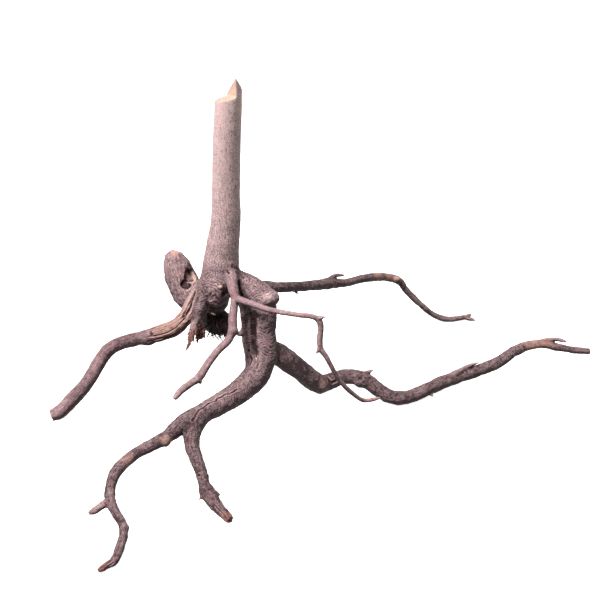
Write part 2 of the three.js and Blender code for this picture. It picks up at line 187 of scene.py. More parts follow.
# Limbs: the same routes as the solid, [x, y, z, radius]. The other values are reliefs in millimetres
# and tints: fibre runs lengthwise, crease runs across, lump and rough are plain noise, net is the
# stem's speckle, tone is lighter or darker, and warm is pinker or greyer.
plain = {"fibre": 0.22, "crease": 0.1, "creaseLength": 3.0, "lump": 0.35, "rough": 0.2, "swirl": 0.0,
         "net": 0.3, "tone": -0.2, "warm": 0.0, "splint": 0.0, "endShare": 0.6, "swell": 0.1}
limbs = {
    "stem": {"fibre": 0.1, "crease": 0.02, "lump": 0.1, "rough": 0.06, "net": 1.0, "tone": 0.36, "warm": 0.05,
             "swell": 0.03,
             "route": [[-94, 58, 108, 15], [-94, 60, 126, 17], [-93, 61, 138, 16], [-91, 62, 155, 14.5],
                       [-88, 63, 177, 13.1], [-87, 63, 207, 12.2], [-85, 62, 255, 11.9], [-83, 61, 288, 11.6],
                       [-82, 61, 332, 11.2]]},
    "burl": {"fibre": 0.08, "crease": 0.0, "lump": 0.8, "rough": 0.25, "swirl": 0.42, "tone": -0.14, "warm": 0.1,
             "route": [[-94, 60, 142, 9], [-96, 56, 131, 11], [-98, 50, 120, 11], [-97, 47, 111, 9.5],
                       [-96, 46, 102, 5.5]]},
    "crown": {"fibre": 0.15, "crease": 0.1, "lump": 0.8, "rough": 0.35, "swirl": 0.4, "tone": -0.3,
              "route": [[-94, 61, 130, 13], [-98, 62, 113, 15], [-100, 65, 99, 13.5], [-99, 67, 86, 10.5]]},
    "stubBehind": {"fibre": 0.35, "crease": 0.0, "lump": 0.6, "rough": 0.3, "swirl": 0.08, "tone": -0.08, "warm": 0.0,
                   "route": [[-135, 93, 132, 6], [-136, 91, 127, 10], [-135, 88, 119, 12.7], [-132, 85, 110, 14],
                             [-126, 81, 98, 14.4], [-118, 76, 88, 13.8], [-107, 69, 79, 13], [-96, 63, 75, 12],
                             [-86, 59, 77, 8.5]]},
    "leftRoot": {"endShare": 1.0, "fibre": 0.14, "crease": 0.04, "lump": 0.35, "rough": 0.12, "tone": -0.2,
                 "warm": 0.1, "swell": 0.06,
                 "route": [[-92, 62, 122, 11], [-105, 58, 115, 10.7], [-117, 51, 103, 8], [-125, 43, 92, 7.1],
                           [-136, 41, 82, 7.6], [-149, 42, 76, 7.6], [-170, 45, 68, 6.4], [-187, 48, 61, 6.1],
                           [-198, 47, 54, 6.2], [-206, 42, 44, 6.2], [-213, 34, 34, 6.3], [-221, 27, 25, 6.5],
                           [-232, 24, 14, 6.6], [-241, 20, 6, 6.2], [-249, 18, 2.8, 5.6]]},
    "mainRoot": {"fibre": 0.08, "crease": 0.25, "creaseLength": 2.7, "lump": 0.6, "rough": 0.16, "swirl": 0.05,
                 "tone": -0.2, "warm": 0.0,
                 "route": [[-89, 62, 119, 13.4], [-71, 57, 115, 11.8], [-59, 51, 109, 12.4], [-55, 45, 101, 11.6],
                           [-54, 41, 91, 10.4], [-55, 38, 80, 9.9], [-54, 34, 68, 10.8], [-57, 28, 56, 12.1],
                           [-63, 18, 46, 12], [-74, 6, 40, 10.9], [-89, -10, 38, 9.7], [-104, -26, 38, 9.1],
                           [-118, -39, 39, 7.9]]},
    "frontLeftRoot": {"endShare": 0.9, "fibre": 0.2, "crease": 0.05, "lump": 0.4, "rough": 0.12,
                      "tone": -0.4, "warm": 0.0, "swell": 0.06,
                      "route": [[-106, -28, 38, 8], [-118, -39, 39, 7.9], [-127, -50, 38, 7.1], [-136, -60, 35, 6],
                                [-150, -68, 31, 5.3], [-162, -75, 28, 4.9], [-171, -86, 26, 5], [-177, -98, 24, 5.1],
                                [-179, -109, 21, 4.5], [-179, -120, 18, 4.6], [-177, -128, 16, 4.3],
                                [-172, -138, 14, 3.7], [-166, -149, 12, 3.9], [-164, -160, 10, 3.8],
                                [-165, -168, 9, 3.9], [-167, -178, 6, 3.8], [-170, -185, 4, 3.6],
                                [-176, -190, 2.8, 3], [-181, -194, 2.4, 2]]},
    "middleFoot": {"endShare": 0.95, "fibre": 0.18, "crease": 0.12, "lump": 0.45, "rough": 0.2, "tone": -0.44,
                   "route": [[-92, -6, 38, 7.5], [-97, -17, 37, 7.2], [-109, -35, 37, 7.6], [-115, -53, 34, 7.5],
                             [-114, -69, 31, 6.3], [-111, -79, 28, 5.7], [-106, -91, 22, 5], [-103, -100, 16, 5.1],
                             [-101, -106, 12, 6.3], [-96, -113, 9.5, 5.8], [-89, -121, 5.4, 5], [-83, -128, 3.2, 4.2],
                             [-80, -132, 2.8, 3.2]]},
    "rightRoot": {"endShare": 1.0, "fibre": 0.16, "crease": 0.08, "lump": 0.5, "rough": 0.18, "tone": -0.36,
                  "route": [[-57, 35, 68, 9.5], [-48, 39, 59, 9.9], [-38, 40, 51, 10], [-23, 40, 38, 9.3],
                            [-12, 42, 26, 9.4], [-4, 46, 19, 8.7], [6, 53, 18, 7.5], [16, 56, 20, 6.9],
                            [27, 55, 21, 6.8], [39, 52, 18, 7.1], [49, 47, 12, 6.7], [58, 43, 8, 6.5],
                            [68, 42, 6, 6.5], [81, 46, 6, 6.2], [94, 53, 8, 6], [108, 62, 9.5, 6.3],
                            [123, 68, 11.5, 5.9], [136, 72, 14, 5.6], [152, 76, 17.5, 5.5], [167, 83, 21.5, 5.3],
                            [180, 92, 26, 5.1], [194, 97, 29, 4.5], [207, 97, 31, 4.2], [219, 94, 29, 3.8],
                            [232, 93, 27, 3.3], [244, 92, 26, 3.1], [251, 93, 25, 3.1]]},
    "backRoot": {"fibre": 0.16, "crease": 0.06, "lump": 0.3, "rough": 0.15, "tone": -0.3,
                 "route": [[-86, 68, 112, 7], [-72, 73, 108, 6.2], [-58, 78, 104, 5.5], [-42, 85, 99, 4.9],
                           [-24, 99, 92, 4.6], [-7, 114, 85, 4.9], [3, 124, 81, 5.7], [11, 132, 77, 4.7],
                           [22, 140, 73, 3.8], [35, 154, 69, 4], [50, 169, 63, 4.2], [62, 178, 58, 4],
                           [71, 185, 52, 4], [77, 187, 47, 3.6], [82, 187, 39, 3.3], [90, 187, 30, 3.2],
                           [100, 186, 20, 3], [110, 188, 10, 2.9], [121, 189, 4, 2.9], [131, 190, 2.5, 2.8],
                           [140, 192, 3, 2.6], [149, 193, 4, 2.6]]},
    "thinFrontRoot": {"fibre": 0.12, "crease": 0.04, "lump": 0.25, "rough": 0.1, "tone": -0.12, "warm": 0.12, "swell": 0.05,
                      "route": [[-87, 58, 140, 5.5], [-86, 53, 136, 5.7], [-84, 47, 131, 5.5], [-82, 39, 125, 4.8],
                                [-80, 33, 119, 4.3], [-81, 28, 110, 3.6], [-82, 23, 102, 3.9], [-82, 18, 94, 4.3],
                                [-86, 11, 87, 3.5], [-93, 5, 83, 3.5], [-101, -3, 76, 3.5], [-107, -11, 70, 3.7],
                                [-111, -16, 66, 3.7], [-118, -21, 63, 3.2], [-126, -28, 60, 3], [-131, -34, 56, 2.8]]},
    "thinSideRoot": {"fibre": 0.1, "crease": 0.03, "lump": 0.18, "rough": 0.08, "tone": -0.14, "warm": 0.1, "swell": 0.04,
                     "route": [[-81, 33, 119, 3.6], [-75, 29, 118, 3.1], [-64, 23, 117, 2.7], [-51, 16, 116, 2.7],
                               [-38, 11, 116, 2.4], [-26, 7, 116, 2.3], [-13, 4, 116, 2.4], [-7, 3, 113, 2.8],
                               [-5, 2, 106, 2.7], [-6, 0, 95, 2.8], [-5, -2, 87, 2.7], [0, -3, 79, 2.3],
                               [5, -3, 68, 2.1], [10, -2, 57, 2.1], [18, 0, 45, 2.1], [26, 3, 35, 2.1],
                               [33, 6, 28, 2.1], [40, 9, 26, 1.9], [49, 13, 26, 1.4]]},
    "tornFlank": {"fibre": 0.1, "crease": 0.22, "creaseLength": 2.2, "lump": 0.45, "rough": 0.2, "tone": -0.26,
                  "warm": -0.1,
                  "route": [[-98, 60, 132, 9], [-101, 56, 127, 9.8], [-108, 51, 113, 8.2], [-112, 46, 102, 7.6],
                            [-114, 41, 93, 5.6], [-116, 36, 86, 3.6]]},
    "mainRootLobe": {"fibre": 0.1, "crease": 0.22, "creaseLength": 2.3, "lump": 0.45, "rough": 0.2, "tone": -0.26,
                     "route": [[-78, 55, 118, 6], [-76, 53, 113, 6.4], [-72, 48, 104, 6.4], [-70, 43, 93, 6.2],
                               [-69, 38, 81, 6.2], [-68, 34, 70, 6.5], [-65, 29, 58, 7.4], [-65, 22, 48, 6]]},
}
# Spurs, twigs and torn ends
twigRoutes = [
    [[-114, 41, 94, 4.6], [-118, 33, 85, 3.6], [-122, 27, 74, 1.9]],
    [[-111, 43, 96, 5], [-112, 40, 82, 4], [-112, 38, 73, 2.4]],
    [[-176, -123, 17, 4.1], [-184, -129, 16, 3.5], [-190, -134, 14, 3], [-195, -136, 13, 2.3]],
    [[-102, -107, 12, 2.8], [-105, -111, 10, 1.9], [-107, -114, 9, 1.3]],
    [[-98, -107, 12, 3.9], [-93, -108, 12, 2.7], [-89, -109, 11, 1.8]],
    [[27, 53, 22, 4], [37, 56, 24, 2.2], [45, 59, 26, 1.4]],
    [[118, 66, 14, 4], [130, 71, 20, 2.1], [138, 73, 23, 1.6], [145, 74, 24.5, 1]],
    [[97, 53, 7, 3], [100, 47, 4, 1.3]],
    [[196, 97, 31, 3.2], [211, 98, 34.5, 2.1], [220, 98, 35, 1.9], [229, 96, 33.5, 1.6]],
    [[-3, 120, 81, 3.6], [4, 128, 83.5, 2.5], [11, 137, 82.5, 2], [20, 142, 80, 1.5]],
    [[-31, 97, 93, 3], [-24, 91, 87, 1]],
    [[12, 134, 75, 3.4], [21, 137, 71, 1.3]],
    [[144, 192, 4, 2.5], [151, 194, 6, 1.8]],
    [[144, 192, 3.4, 2.5], [154, 188, 2.4, 1.8]],
    [[-110, -16, 67, 3], [-109, -19, 61.5, 1.6]],
    [[-83, 20, 94, 3.2], [-75, 15, 90.5, 1.6]],
    [[-9, 3, 114.5, 2.6], [0, 2, 117, 0.9]],
    [[-5, -2, 89, 2.6], [-9, -4, 83, 1.3]],
    [[-69, 39, 82, 5], [-76, 35, 80, 3], [-79, 33, 79, 1.9]],
    [[-99, 45, 121, 4], [-99, 38, 118, 2]],
    [[70, 182, 54, 3.4], [75, 176, 57, 2.2]],
    [[-91, 48, 124, 2.2], [-93, 38.5, 125, 1.7]],
    [[-110, 50, 95, 1.2], [-104, 47, 95, 1.1], [-98, 45, 93, 1.0]],
]
for index, route in enumerate(twigRoutes):
    limbs[f"twig{index}"] = {"fibre": 0.14, "lump": 0.2, "rough": 0.12, "route": route}
# Knots: middle and three radii
knots = [
    [-137, -65, 35, 5, 6.5, 6], [-4, 40, 20, 7.5, 7, 8], [32, 49, 19, 5.5, 5, 6.2], [-101, -105, 12.5, 7, 6.5, 6.5],
    [-164, -153, 12, 4.6, 4.6, 4.4], [3, 124, 81, 6.8, 6, 6.2], [-82, 17, 94, 5, 4.6, 5.2], [-160, 43, 70, 8, 7, 7],
    [-50, 43, 112, 9, 9, 8],
]
# Lifted strands of split grain on the left root: shares of its length, degrees from straight up, radius
strands = {"rows": [(0.09, 0.3, 60, 20, 2.5), (0.1, 0.4, 10, -5, 2.7), (0.12, 0.38, 95, 55, 2.3), (0.2, 0.44, 35, 40, 2.1)],
           "stations": 6, "lift": 0.7, "fibre": 0.25, "lump": 0.2, "rough": 0.1, "tone": 0.1, "warm": 0.2, "net": 0.0, "splint": 1.0}
sawCut = {"middle": (-84, 61, 294), "normal": (-0.24, 0.2, 0.95)}
shard = {"facePoint": (-80.2, 62, 296), "faceNormal": (-0.92, -0.39, 0), "tip": (-75.9, 51.8, 316),
         "backNormal": (0.39, 0.74, 0.55)}


# Centripetal Catmull-Rom through the route, with the radius eased between its points
def sampleRoute(route, spacing):
    points = np.array(route, float)
    ends = [2 * points[0] - points[1], *points, 2 * points[-1] - points[-2]]
    rows = []
    for a, b, c, d in zip(ends, ends[1:], ends[2:], ends[3:]):
        ab, bc, cd = (max(np.linalg.norm(gap[:3]) ** 0.5, 0.0001) for gap in (b - a, c - b, d - c))
        leave = ((b - a) / ab - (c - a) / (ab + bc) + (c - b) / bc) * bc
        arrive = ((c - b) / bc - (d - b) / (bc + cd) + (d - c) / cd) * bc
        t = np.linspace(0, 1, max(2, round(bc ** 2 / spacing)), endpoint=False)[:, None]
        row = b + leave * t + (3 * (c - b) - 2 * leave - arrive) * t ** 2 + (2 * (b - c) + leave + arrive) * t ** 3
        row[:, 3] = (b[3] + (c[3] - b[3]) * (3 * t ** 2 - 2 * t ** 3))[:, 0]
        rows.append(row)
    return np.vstack([*rows, points[-1:]])


def unit(vectors):
    return vectors / np.maximum(np.linalg.norm(vectors, axis=-1, keepdims=True), 1e-9)


# Length along the samples, and a frame that turns as little as it can
def framed(samples):
    centres = samples[:, :3]
    steps = np.linalg.norm(np.diff(centres, axis=0), axis=1)
    tangents = unit(np.gradient(centres, axis=0))
    normal = np.cross(tangents[0], (0.31, 0.2, 0.93))
    normals = []
    for tangent in tangents:
        normal = unit(normal - tangent * (normal @ tangent))
        normals.append(normal)
    normals = np.array(normals)
    return np.concatenate([[0], np.cumsum(steps)]), tangents, normals, np.cross(tangents, normals)


leftSamples = sampleRoute(limbs["leftRoot"]["route"], 1.0)
leftLengths, leftTangents, *_ = framed(leftSamples)
for index, (start, end, angleFrom, angleTo, width) in enumerate(strands["rows"]):
    route = []
    for share in np.linspace(0, 1, strands["stations"]):
        place = np.searchsorted(leftLengths, leftLengths[-1] * (start + (end - start) * share))
        sideways = unit(np.cross((0, 0, 1), leftTangents[place]))
        above = np.cross(leftTangents[place], sideways)
        angle = math.radians(angleFrom + (angleTo - angleFrom) * share)
        distance = leftSamples[place, 3] * strands["lift"]
        point = leftSamples[place, :3] + above * distance * math.cos(angle) + sideways * distance * math.sin(angle)
        route.append([*point, width * (1 - 0.7 * share ** 2)])
    keys = ("fibre", "lump", "rough", "tone", "warm", "net", "splint")
    limbs[f"strand{index}"] = {**{key: strands[key] for key in keys}, "route": route}

bluntLength = 5.0
for limb in limbs.values():
    for key, value in plain.items():
        limb.setdefault(key, value)
    limb["samples"] = sampleRoute(limb["route"], 1.4)
    limb["lengths"], limb["tangents"], limb["normals"], limb["binormals"] = framed(limb["samples"])
print("routes sampled:", len(limbs), "limbs")


# Limb meshes: one node tree, set anew for each limb
def newTree(name, **inputs):
    tree = bpy.data.node_groups.new(name, "GeometryNodeTree")
    tree.interface.new_socket("Geometry", in_out="INPUT", socket_type="NodeSocketGeometry")
    for title, (kind, value) in inputs.items():
        item = tree.interface.new_socket(title, in_out="INPUT", socket_type="NodeSocket" + kind)
        if value is not None:
            item.default_value = value
    tree.interface.new_socket("Geometry", in_out="OUTPUT", socket_type="NodeSocketGeometry")
    sheet = Sheet(tree)
    return tree, sheet, sheet.add("NodeGroupInput")


def finishTree(sheet, geometry, material):
    solid = sheet.add("GeometryNodeRealizeInstances", {"Geometry": geometry})
    painted = sheet.add("GeometryNodeSetMaterial", {"Geometry": solid, "Material": material})
    end = sheet.tree.nodes.new("NodeGroupOutput")
    sheet.tree.links.new(painted.socket, end.inputs[0])


# The modifier's inputs are set by identifier before it is first evaluated
def grown(item, tree, name, **values):
    modifier = item.modifiers.new(name, "NODES")
    modifier.node_group = tree
    for socket in tree.interface.items_tree:
        if socket.in_out == "INPUT" and socket.name in values:
            modifier[socket.identifier] = values[socket.name]
    if item.name not in scene.collection.objects:
        scene.collection.objects.link(item)
    bpy.context.view_layer.update()
    mesh = bpy.data.meshes.new_from_object(item.evaluated_get(bpy.context.evaluated_depsgraph_get()))
    bpy.data.objects.remove(item)
    return mesh


wood, woodSheet, woodShader = newMaterial("weatheredBark", 0.82)
limbTree, sheet, given = newTree("growLimb", Sides=("Int", 16), Lump=("Float", 0.05), LumpSize=("Float", 0.01),
                                 Material=("Material", None))
girth = sheet.add("GeometryNodeInputRadius")
ring = sheet.add("GeometryNodeCurvePrimitiveCircle", {"Resolution": given.out("Sides"), "Radius": 1.0})
tube = sheet.add("GeometryNodeCurveToMesh", {"Curve": given.out("Geometry"), "Profile Curve": ring, "Scale": girth,
                                             "Fill Caps": True})
position = sheet.add("GeometryNodeInputPosition")
swell = sheet.noise(sheet.vector("DIVIDE", position, sheet.add("ShaderNodeCombineXYZ", {
    "X": given.out("LumpSize"), "Y": given.out("LumpSize"), "Z": given.out("LumpSize")})), 1.0, 1.0) - 0.5
outwards = sheet.add("GeometryNodeInputNormal")
push = sheet.add("ShaderNodeVectorMath", {0: outwards, "Scale": swell * given.out("Lump")}, operation="SCALE")
shaped = sheet.add("GeometryNodeSetPosition", {"Geometry": tube, "Offset": push})
finishTree(sheet, shaped, given.out("Material"))


def limbMesh(name, limb):
    samples = limb["samples"]
    length = limb["lengths"][-1]
    narrowing = limb["endShare"] + (1 - limb["endShare"]) * np.clip((length - limb["lengths"]) / bluntLength, 0, 1) ** 0.6
    curve = bpy.data.curves.new(name, "CURVE")
    curve.dimensions = "3D"
    spline = curve.splines.new("POLY")
    spline.points.add(len(samples) - 1)
    spline.points.foreach_set("co", np.column_stack([samples[:, :3] * metre, np.ones(len(samples))]).ravel())
    spline.points.foreach_set("radius", samples[:, 3] * narrowing * metre)
    sides = 28 if samples[:, 3].max() > 6 else 18
    lump = float(samples[:, 3].max() * limb["swell"] * metre)
    return grown(bpy.data.objects.new(name, curve), limbTree, "grow", Sides=sides, Lump=lump, LumpSize=0.011,
                 Material=wood)


def keepBelow(shape, middle, normal):
    # Cuts away what lies on the side that the normal points to, and closes the cut.
    everything = shape.verts[:] + shape.edges[:] + shape.faces[:]
    cut = bmesh.ops.bisect_plane(shape, geom=everything, plane_co=Vector(middle) * metre, plane_no=Vector(normal),
                                 clear_outer=True)
    rim = [part for part in cut["geom_cut"] if isinstance(part, bmesh.types.BMEdge)]
    bmesh.ops.contextual_create(shape, geom=rim)


whole = bmesh.new()
for name, limb in limbs.items():
    mesh = limbMesh(name, limb)
    if name == "stem":
        cuts = [[(sawCut["middle"], sawCut["normal"])],
                [(shard["facePoint"], shard["faceNormal"]), (shard["tip"], shard["backNormal"])]]
        for planes in cuts:
            part = bmesh.new()
            part.from_mesh(mesh)
            for middle, normal in planes:
                keepBelow(part, middle, normal)
            spare = bpy.data.meshes.new("stemPart")
            part.to_mesh(spare)
            part.free()
            whole.from_mesh(spare)
    else:
        whole.from_mesh(mesh)
for x, y, z, *radii in knots:
    made = bmesh.ops.create_icosphere(whole, subdivisions=4, radius=1)
    for vertex in made["verts"]:
        vertex.co = Vector([(place + part * size) * metre for place, part, size in zip((x, y, z), vertex.co, radii)])
bodyMesh = bpy.data.meshes.new("driftwoodBark")
whole.to_mesh(bodyMesh)
whole.free()
print("limbs joined:", len(bodyMesh.polygons), "faces")

# One skin over all limbs
skin = {"voxel": 0.00066, "evenRounds": 3, "blendRounds": 60}


def modified(mesh, kind, **settings):
    item = bpy.data.objects.new("shaping", mesh)
    scene.collection.objects.link(item)
    modifier = item.modifiers.new("shape", kind)
    for name, value in settings.items():
        setattr(modifier, name, value)
    bpy.context.view_layer.update()
    made = bpy.data.meshes.new_from_object(item.evaluated_get(bpy.context.evaluated_depsgraph_get()))
    bpy.data.objects.remove(item)
    return made


bodyMesh = modified(bodyMesh, "REMESH", mode="VOXEL", voxel_size=skin["voxel"])
print("skin:", len(bodyMesh.vertices), "vertices")


def readVectors(items, name, count):
    values = np.empty(count * 3, np.float32)
    items.foreach_get(name, values)
    return values.reshape(-1, 3).astype(float)


def neighbourMean(values, edges, degree):
    total = np.empty_like(values)
    for axis in range(values.shape[1]):
        column = values[:, axis]
        total[:, axis] = (np.bincount(edges[:, 0], column[edges[:, 1]], len(values))
                          + np.bincount(edges[:, 1], column[edges[:, 0]], len(values)))
    return total / degree


# Gradient noise, about -1 to 1
gradientCount = 64
chance = np.random.default_rng(7)
gradients = unit(chance.normal(size=(gradientCount, 3)))


def noise(place, seed=0):
    cell = np.floor(place).astype(np.int64)
    inside = place - cell
    fade = inside ** 3 * (inside * (inside * 6 - 15) + 10)
    total = np.zeros(len(place))
    for corner in np.ndindex(2, 2, 2):
        x, y, z = (cell + corner).T
        mixed = (x * 374761393 + y * 668265263 + z * 1442695041 + seed * 1274126177) & 0xFFFFFFFF
        mixed = ((mixed ^ (mixed >> 13)) * 1274126177) & 0xFFFFFFFF
        slope = gradients[(mixed ^ (mixed >> 16)) % gradientCount]
        share = np.prod(np.where(corner, fade, 1 - fade), axis=1)
        total += share * np.sum(slope * (inside - corner), axis=1)
    return total * 1.7


def layered(place, octaves, seed=0):
    return sum(noise(place * 2 ** level + 7.3 * level, seed + level) / 2 ** level for level in range(octaves))


def eased(value, low, high):
    share = np.clip((value - low) / (high - low), 0, 1)
    return share * share * (3 - 2 * share)


# Which limbs each point belongs to: shares, and its place along and round each of them
def belonging(points):
    found = {}
    nearest = np.full(len(points), 1e9)
    for name, limb in limbs.items():
        samples = limb["samples"]
        margin = samples[:, 3].max() * 2.4
        low, high = samples[:, :3].min(0) - margin, samples[:, :3].max(0) + margin
        near = np.flatnonzero(np.all((points > low) & (points < high), axis=1))
        if len(near):
            centres = samples[:, :3]
            gaps = (centres ** 2).sum(1) - 2 * points[near] @ centres.T
            place = gaps.argmin(1)
            ratio = np.linalg.norm(points[near] - centres[place], axis=1) / samples[place, 3]
            nearest[near] = np.minimum(nearest[near], ratio)
            found[name] = (near, place, ratio)
    for name, (near, place, ratio) in found.items():
        share = np.exp(-7 * (ratio - nearest[near]))
        kept = share > 0.03
        found[name] = (near[kept], place[kept], share[kept])
    return found


def limbPlace(limb, points, place):
    offset = points - limb["samples"][place, :3]
    along = limb["lengths"][place] + np.sum(offset * limb["tangents"][place], axis=1)
    across = np.sum(offset * limb["normals"][place], axis=1)
    beside = np.sum(offset * limb["binormals"][place], axis=1)
    return np.column_stack([along, across, beside])


# Rounded folds with narrow grooves between them, once every length
def folds(value, length):
    return 0.4 - 1.4 * np.exp(-(np.sin(np.pi * value / length) / 0.42) ** 2)


# Relief of one limb in millimetres, in its own place: fibres lengthwise, creases across
def limbRelief(limb, points, local, seed):
    fibre = 1 - 2 * np.abs(noise(local / (16, 1.7, 1.7) + 3.1, seed))
    fine = noise(local / (7, 0.9, 0.9), seed + 1)
    warp = 4.0 * noise(local / (13, 8, 8), seed + 2) + 1.2 * noise(local / (5, 3.5, 3.5), seed + 3)
    patch = eased(noise(local / (11, 8, 8) + 9, seed + 4), -0.5, 0.3)
    crease = folds(local[:, 0] + warp, limb["creaseLength"]) * (0.2 + 0.8 * patch)
    finer = folds(1.7 * local[:, 0] + 1.5 * warp, limb["creaseLength"]) * (1 - 0.8 * patch)
    relief = limb["fibre"] * (0.6 * fibre + 0.35 * fine) + limb["crease"] * (crease + 0.6 * finer)
    return relief + limb["lump"] * layered(points / 9.5, 2, 5)


groundLevel = 0.0
count = len(bodyMesh.vertices)
points = readVectors(bodyMesh.vertices, "co", count) * 1000
edges = np.empty(len(bodyMesh.edges) * 2, np.int32)
bodyMesh.edges.foreach_get("vertices", edges)
edges = edges.reshape(-1, 2)
degree = np.bincount(edges.ravel(), minlength=count)[:, None]
isCut = points[:, 2] > 286
for _ in range(skin["evenRounds"]):
    points += np.where(isCut, 0.1, 0.6)[:, None] * (neighbourMean(points, edges, degree) - points)
shares = belonging(points)
total = np.zeros(count)
largest = np.zeros(count)
for near, place, share in shares.values():
    total[near] += share
    largest[near] = np.maximum(largest[near], share)
junction = eased(1 - largest / np.maximum(total, 1e-6), 0.1, 0.5) * (points[:, 2] < 286)
for x, y, z, *radii in knots:
    ratio = np.linalg.norm((points - (x, y, z)) / np.array(radii), axis=1)
    junction = np.maximum(junction, 0.5 * eased(1.9 - ratio, 0, 0.6))
for _ in range(skin["blendRounds"]):
    points += 0.7 * junction[:, None] * (neighbourMean(points, edges, degree) - points)


def surfaceNormals(mesh, places):
    mesh.vertices.foreach_set("co", (places * metre).ravel().astype(np.float32))
    mesh.update()
    return readVectors(mesh.vertex_normals, "vector", len(places))


normals = surfaceNormals(bodyMesh, points)
print("skin evened")

# Cracks, folds and grooves: points, half width, depth, and how dark they are inside, partly the dark wood and partly
# painted shade
lines = [
    {"at": [[-72, -3, 48], [-83, -10, 47], [-94, -19, 47], [-103, -28, 47], [-110, -36, 46], [-115, -48, 43]],
     "width": 0.7, "depth": 1.0, "dark": 0.75},
    {"at": [[-63, 36, 100], [-63, 36, 95], [-63, 34, 84], [-63, 30, 74], [-62, 24, 66]], "width": 2.2, "depth": 1.3,
     "dark": 0.3},
    {"at": [[-69, 26, 68], [-66, 21, 61], [-67, 17, 57], [-60, 11, 55]], "width": 0.8, "depth": 0.9, "dark": 0.6},
    {"at": [[-62, 22, 66], [-60, 17, 62], [-61, 13, 57]], "width": 0.7, "depth": 0.8, "dark": 0.5},
    {"at": [[2, 46, 27], [5, 43, 22], [7, 45, 21], [11, 48, 22]], "width": 1.0, "depth": 1.6, "dark": 0.9},
    {"at": [[-80, 49, 134], [-78, 49, 123], [-74, 45, 112]], "width": 1.1, "depth": 1.3, "dark": 0.5},
    {"at": [[-83, 49, 141], [-78, 57, 133], [-73, 53, 127]], "width": 1.2, "depth": 1.0, "dark": 0.35},
    {"at": [[-86, 45, 137], [-81, 50, 128], [-74, 50, 121]], "width": 1.0, "depth": 0.9, "dark": 0.35},
    {"at": [[-116, 49, 114], [-119, 46, 110], [-121, 42, 101], [-126, 37, 94]], "width": 1.4, "depth": 2.4,
     "dark": 1.0},
    {"at": [[-131, 78, 104], [-122, 72, 98], [-116, 66, 90]], "width": 1.0, "depth": 1.3, "dark": 0.8},
    {"at": [[-139, 78, 99], [-130, 71, 92], [-121, 66, 84]], "width": 0.9, "depth": 1.1, "dark": 0.7},
    {"at": [[-107, -97, 22], [-102, -98, 22], [-98, -95, 20]], "width": 0.8, "depth": 1.3, "dark": 1.0},
]
# Dents and swellings: middle, reach, depth (a swelling is below nought)
dents = [
    {"at": (-89, 43, 117), "reach": 2.6, "depth": 3.4},
    {"at": (-122, 77, 116), "reach": 6.5, "depth": 3.4, "sharp": True},
    {"at": (-126, 72, 109), "reach": 5.5, "depth": 2.4, "sharp": True},
    {"at": (0, 37, 16), "reach": 4, "depth": 2.0},
    {"at": (31, 47, 25), "reach": 2.6, "depth": 1.8},
]
groovedTips = [((-178, -191, 3), 9), ((-83, -128, 4), 13)]
paintedLightDirection = (-0.3, -0.1, 0.95)  # the side the painted light falls from; faces turned away from it get painted shade
# Places that are lighter or darker than their limb: middle, reach, amount. Painted shade: the darker spots in the
# crown's hollow, beside the main root's lobe, under the main and right roots, and on the front left root's left side.
# Painted highlight: the lighter spot on the main root's shoulder.
toneAndPaintedLight = [((-30, 95, 95), 32, -0.14), ((-180, 46, 65), 20, -0.14), ((-98, 55, 82), 16, -0.4), ((-90, 58, 92), 12, -0.4),
          ((-52, 38, 114), 9, 0.22), ((-6, 0, 95), 16, 0.1), ((-102, 46, 118), 10, -0.08), ((-74, 38, 92), 7, -0.2),
          ((-240, 21, 8), 22, 0.12), ((-10, 36, 20), 12, -0.15), ((-130, 90, 128), 12, 0.06),
          ((-175, -150, 11), 11, -0.5), ((-175, -166, 8), 11, -0.4), ((-186, -115, 17), 11, -0.4),
          ((-28, 33, 42), 16, -0.35), ((-5, 38, 14), 12, -0.3), ((-60, 8, 34), 15, -0.35), ((-82, 66, 300), 40, 0.08)]
# Tints: name, middle, reach, strength
tints = {
    "fresh": [((-120, 79, 114), 4.5, 0.8), ((-116, 78, 110), 4.5, 0.7), ((-93, 38.5, 125), 2.8, 1.0),
              ((-249.5, 18, 3.5), 3, 0.5), ((251.5, 93, 25), 2.5, 0.9), ((-104, 47.5, 95), 6, 0.8)],
    "torn": [((-179, -192, 3), 9, 0.9), ((-81, -132, 3), 8, 0.9), ((-121, 27, 78), 9, 0.9),
             ((-112, 37, 79), 9, 0.9), ((-194, -136, 13), 5, 0.6), ((-106, -113, 9), 4, 0.7), ((-250, 18, 3), 6, 0.5)],
    # Hollow spots are partly dark decayed wood and partly painted shade in holes, crotches and under the crown.
    "hollow": [((-128, 71, 111), 4.5, 0.8), ((-126, 74, 106), 4.5, 0.8), ((-126, 80, 121), 3, 1.0), ((-121, 83, 119), 3, 0.9), ((-89, 42, 117), 3, 1.0),
               ((-104, 56, 86), 9, 0.95), ((-99, 52, 92), 7, 0.9), ((-92, 58, 88), 9, 0.95), ((-98, 53, 79), 9, 0.9),
               ((-90, 54, 78), 8, 0.9), ((-74, 40, 90), 5, 0.8), ((-84, 50, 100), 8, 0.8), ((-76, 42, 104), 5, 0.6),
               ((1, 35, 16), 5, 0.8), ((31, 45, 25), 2.6, 0.8), ((-46, 32, 48), 5, 0.6),
               ((-251, 17.5, 2), 2.2, 0.8), ((46, 59.5, 26), 3.2, 0.9), ((-131, -34.5, 55.5), 2, 0.7)],
    "worn": [((-136, 90, 135), 6, 0.9), ((-148, 88, 120), 4.5, 0.7), ((55, 168, 65), 7, 0.8), ((66, 176, 59), 8, 1.0),
             ((75, 176, 54), 6, 0.8), ((196, 95, 33), 9, 0.8), ((208, 94, 34), 8, 0.6), ((-167, -86, 29), 5, 0.7),
             ((-136, -70, 38), 6, 0.6), ((29, 3, 32), 3, 0.8), ((38, 7, 28), 3, 0.8), ((-3, 37, 28), 5, 0.4)],
}


